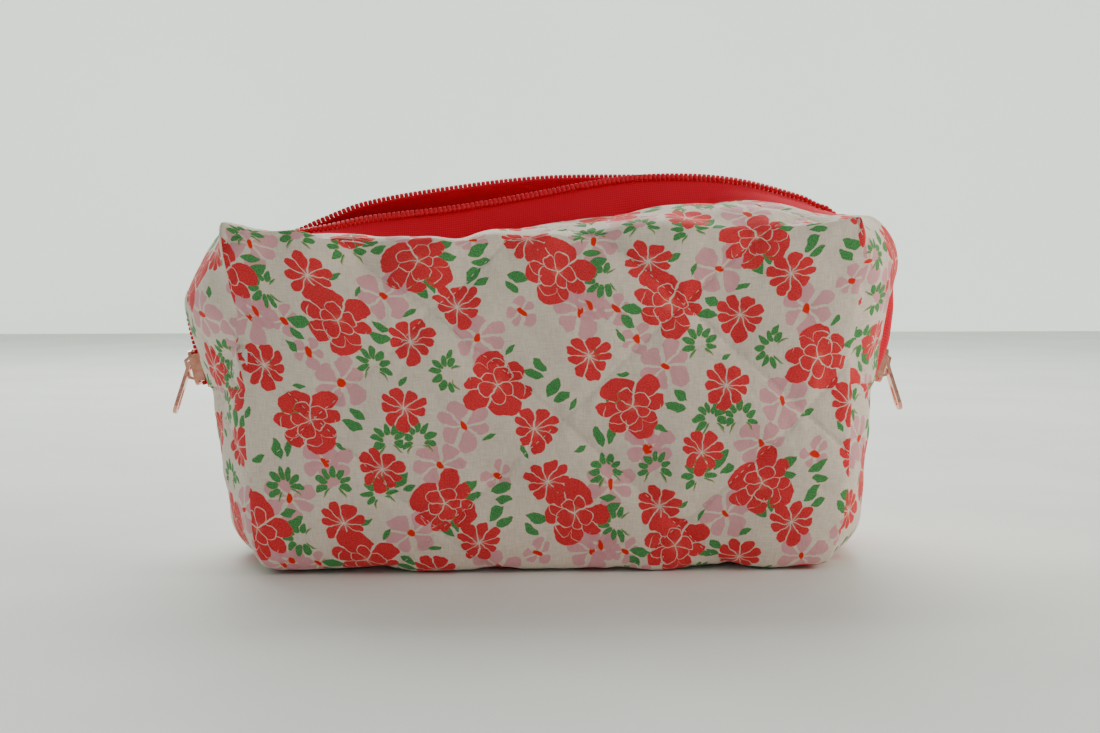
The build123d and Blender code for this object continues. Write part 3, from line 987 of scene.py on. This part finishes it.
def woven_tape():
    """Close-woven red tape with a fine rib along its length."""
    finish = Finish("zip_tape")
    flat = finish.cloth_place()
    parts = [finish.node("ShaderNodeSeparateXYZ", {}, {0: flat}, k) for k in range(2)]
    rib = ((parts[1] * (math.tau / 0.6)).math("SINE") + 1) * 0.5
    cross = ((parts[0] * (math.tau / 0.7)).math("SINE") + 1) * 0.5
    grain = finish.noise(flat, 1.6, 3.0, 0.6)
    weave = rib * 0.3 + cross * 0.3 + grain * 0.4
    colour = finish.blend(weave.ramp(0.2, 0.8), paint(216, 0, 36), paint(236, 2, 50))
    rough = weave.ramp(0.2, 0.8, 0.86, 0.74)
    finish.surface(Base_Color=colour, Roughness=rough, Normal=finish.bump(weave, 0.03, 0.4))
    finish.surface(Subsurface_Weight=0.5, Subsurface_Scale=0.0012, Subsurface_Radius=(1.0, 0.25, 0.25))
    return finish.surface(Sheen_Weight=0.05, Sheen_Roughness=0.4, Specular_IOR_Level=0.3)


def nylon_coil():
    """Matt red nylon."""
    finish = Finish("zip_coil")
    grain = finish.noise(finish.object_place(), 1.2, 2.0)
    colour = finish.blend(grain.ramp(0.3, 0.7), paint(208, 2, 34), paint(232, 14, 50))
    rough = grain.ramp(0.3, 0.7, 0.6, 0.7)
    finish.surface(Base_Color=colour, Roughness=rough, Normal=finish.bump(grain, 0.05, 0.5))
    return finish.surface(Specular_IOR_Level=0.35)


def rose_gold(name, tone):
    """Plated metal with fine handling marks."""
    finish = Finish(name)
    place = finish.object_place()
    haze = finish.noise(place, 0.5, 3.0, 0.6)
    marks = finish.noise(finish.vector("MULTIPLY", place, (6.0, 6.0, 0.6)), 1.0, 2.0)
    colour = finish.blend(haze.ramp(0.3, 0.7), tone, paint(238, 176, 154))
    rough = haze.ramp(0.3, 0.7, 0.16, 0.28)
    finish.surface(Base_Color=colour, Metallic=1.0, Roughness=rough, Normal=finish.bump(marks, 0.02, 0.4))
    return finish.material


# ------------------------------------------------------------------ stage
def aim(obj, target):
    """Turns a light to face a point."""
    obj.rotation_euler = (Vector(target) - obj.location).to_track_quat("-Z", "Y").to_euler()


def camera():
    """A normal lens a little above the pouch's middle."""
    data = bpy.data.cameras.new("camera")
    data.lens = 50
    data.sensor_width = 36
    made = bpy.data.objects.new("camera", data)
    made.location = (-0.0248, -0.5189, 0.0995)
    made.rotation_euler = (math.radians(90 - 4.1), 0, math.radians(-3.04))
    bpy.context.scene.collection.objects.link(made)
    bpy.context.scene.camera = made


def area_light(name, place, target, size, power, colour):
    data = bpy.data.lights.new(name, "AREA")
    data.shape = "RECTANGLE"
    data.size, data.size_y = size
    data.energy = power
    data.color = colour
    made = bpy.data.objects.new(name, data)
    made.location = place
    bpy.context.scene.collection.objects.link(made)
    aim(made, target)


def studio():
    """A pale floor, a glowing card behind, and soft light from behind and from the right."""
    bm = bmesh.new()
    bmesh.ops.create_grid(bm, x_segments=1, y_segments=1, size=4)
    floor = new_object("floor", bm)
    floor.location.z = -0.0002
    finish = Finish("floor")
    haze = finish.noise(finish.object_place(), 0.01, 2.0)
    colour = finish.blend(haze.ramp(0.3, 0.7), paint(226, 225, 222), paint(234, 233, 230))
    floor.data.materials.append(finish.surface(Base_Color=colour, Roughness=0.6))
    world = bpy.data.worlds.new("studio")
    world.use_nodes = True
    world.node_tree.nodes["Background"].inputs["Color"].default_value = paint(226, 234, 230)
    world.node_tree.nodes["Background"].inputs["Strength"].default_value = 0.5
    bpy.context.scene.world = world
    bm = bmesh.new()
    standing = Matrix.Translation((0, 1.5, 1.2)) @ Matrix.Rotation(math.radians(90), 4, "X")
    standing = standing @ Matrix.Diagonal((2.4, 1, 1, 1))
    bmesh.ops.create_grid(bm, x_segments=1, y_segments=1, size=1.4, matrix=standing)
    card = new_object("backdrop", bm)
    glow = Finish("backdrop")
    haze = glow.noise(glow.object_place(), 0.002, 1.0)
    pale = glow.blend(haze.ramp(0.3, 0.7), paint(228, 240, 228), paint(236, 244, 234))
    card.data.materials.append(glow.surface(Base_Color=pale, Emission_Color=pale, Emission_Strength=1.08))
    area_light("window", (-0.1, 0.8, 0.8), (0, 0, 0.08), (1.2, 0.8), 14, (0.95, 1.0, 0.98))
    area_light("side", (0.8, -0.2, 0.45), (0, 0, 0.05), (0.35, 0.35), 3.4, (1.0, 0.9, 0.78))


# ------------------------------------------------------------------ putting it together
BEND_TOP = Vector((0, 0, 0.117))  # where a flap's bend is complete
BEND_LEAN = math.radians(30)  # the bend's direction, from upright towards the zip


def dress(obj, name, material, slot, *nodes):
    """Names the piece, gives it its material and hides the CAD nodes that it stands for. The slot is not
    used.
    """
    obj.name = name
    obj.data.materials.clear()
    obj.data.materials.append(material)
    if nodes:
        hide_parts(*nodes)
    return obj


def open_with(obj, name, side, hinge):
    """The piece bends from the pouch to its flap across the flap's fold."""
    start = Vector((0, side * hinge[1], hinge[2]))
    way = Vector((0, -side * math.sin(BEND_LEAN), math.cos(BEND_LEAN)))
    reach = way.dot(BEND_TOP - start)
    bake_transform(obj, "pouch", f"{name}_flap", start=start, end=start + way * reach)


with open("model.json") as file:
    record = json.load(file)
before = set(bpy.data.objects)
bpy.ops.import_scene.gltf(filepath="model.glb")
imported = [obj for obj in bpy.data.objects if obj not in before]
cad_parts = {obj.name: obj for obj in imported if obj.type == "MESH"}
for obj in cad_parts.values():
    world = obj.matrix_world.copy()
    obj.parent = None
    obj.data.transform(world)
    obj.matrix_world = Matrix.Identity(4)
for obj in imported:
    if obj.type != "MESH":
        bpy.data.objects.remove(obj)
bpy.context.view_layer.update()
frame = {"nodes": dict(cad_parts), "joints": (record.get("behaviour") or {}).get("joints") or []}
rear_hinge = next(joint["pos_m"] for joint in frame["joints"] if joint["name"] == "rear_flap_fold")
camera()
studio()

cotton = printed_cotton()
plain = plain_cotton("lining", paint(232, 228, 222), paint(214, 209, 203))
fluff = plain_cotton("wadding", paint(244, 242, 238), paint(232, 229, 224))
tape_red = woven_tape()
coil_red = nylon_coil()
# Quilting thread: its own off-white, darkened to a grey that is painted shade of the small dimples the
# stitches sink into
thread_with_painted_shade = plain_cotton("thread_with_painted_shade", paint(232, 224, 214), paint(212, 202, 192))
binding_cloth = plain_cotton("binding", paint(240, 238, 234), paint(224, 220, 214))

shell = made_up_pouch()
soften(shell, 3)
coarse = shell.copy()
uneven(coarse, set())
smooth = new_object("shell", shell)
rounding = smooth.modifiers.new("rounding", "SUBSURF")
rounding.levels = rounding.render_levels = 1
rounding.uv_smooth = "NONE"
settled(smooth)
fine = bmesh.new()
fine.from_mesh(smooth.data)
bpy.data.objects.remove(smooth)
uneven(fine, seam_verts(fine))

for name, side in SIDES.items():
    outer = layer(fine, f"{name}_printed_cotton", side, *LAYERS["cotton"])
    dress(outer, f"{name}_printed_cotton", cotton, "printed_cotton", f"{name}_flap_cloth")
    middle = layer(coarse, f"{name}_wadding", side, *LAYERS["wadding"], short=True)
    dress(middle, f"{name}_wadding", fluff, "wadding", f"{name}_flap_wadding")
    inner = layer(coarse, f"{name}_lining", side, *LAYERS["lining"])
    dress(inner, f"{name}_lining", plain, "lining", f"{name}_flap_lining")
    if name == "front":
        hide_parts("outer_cloth")
        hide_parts("wadding")
        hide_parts("lining")
    tape = zip_tape(side)
    nodes = [f"{name}_zip_tape", f"{name}_tape_left_end", f"{name}_tape_right_end"]
    dress(tape, f"{name}_tape", tape_red, "zip_tape", *nodes)
    teeth = zip_teeth(side)
    nodes = [f"{name}_zip_coil", f"{name}_coil_left_end", f"{name}_coil_right_end"]
    dress(teeth, f"{name}_teeth", coil_red, "zip_coil", *nodes)
    pieces = [outer, middle, inner, tape, teeth]
    for end_name, end in ENDS.items():
        folded = corner_binding(side, end)
        node = f"{name}_{end_name}_corner_binding"
        pieces.append(dress(folded, f"{name}_{end_name}_corner_tape", binding_cloth, "binding", node))
    stitches = quilting_stitches(surface(fine), side)
    pieces.append(dress(stitches, f"{name}_quilting_stitches", thread_with_painted_shade, "printed_cotton"))
    for piece in pieces:
        open_with(piece, name, side, rear_hinge)

for end_name, end in ENDS.items():
    folded = cross_binding(end)
    dress(folded, f"{end_name}_seam_tape", binding_cloth, "binding", f"{end_name}_seam_binding")
    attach(folded, "pouch")

metal = {
    "slider": rose_gold("slider_metal", paint(222, 142, 116)),
    "pull": rose_gold("pull_metal", paint(228, 152, 128)),
}
for end in ENDS:
    for part in ("slider", "pull"):
        node = frame["nodes"][f"{end}_{part}"]
        node.data.materials.clear()
        node.data.materials.append(metal[part])
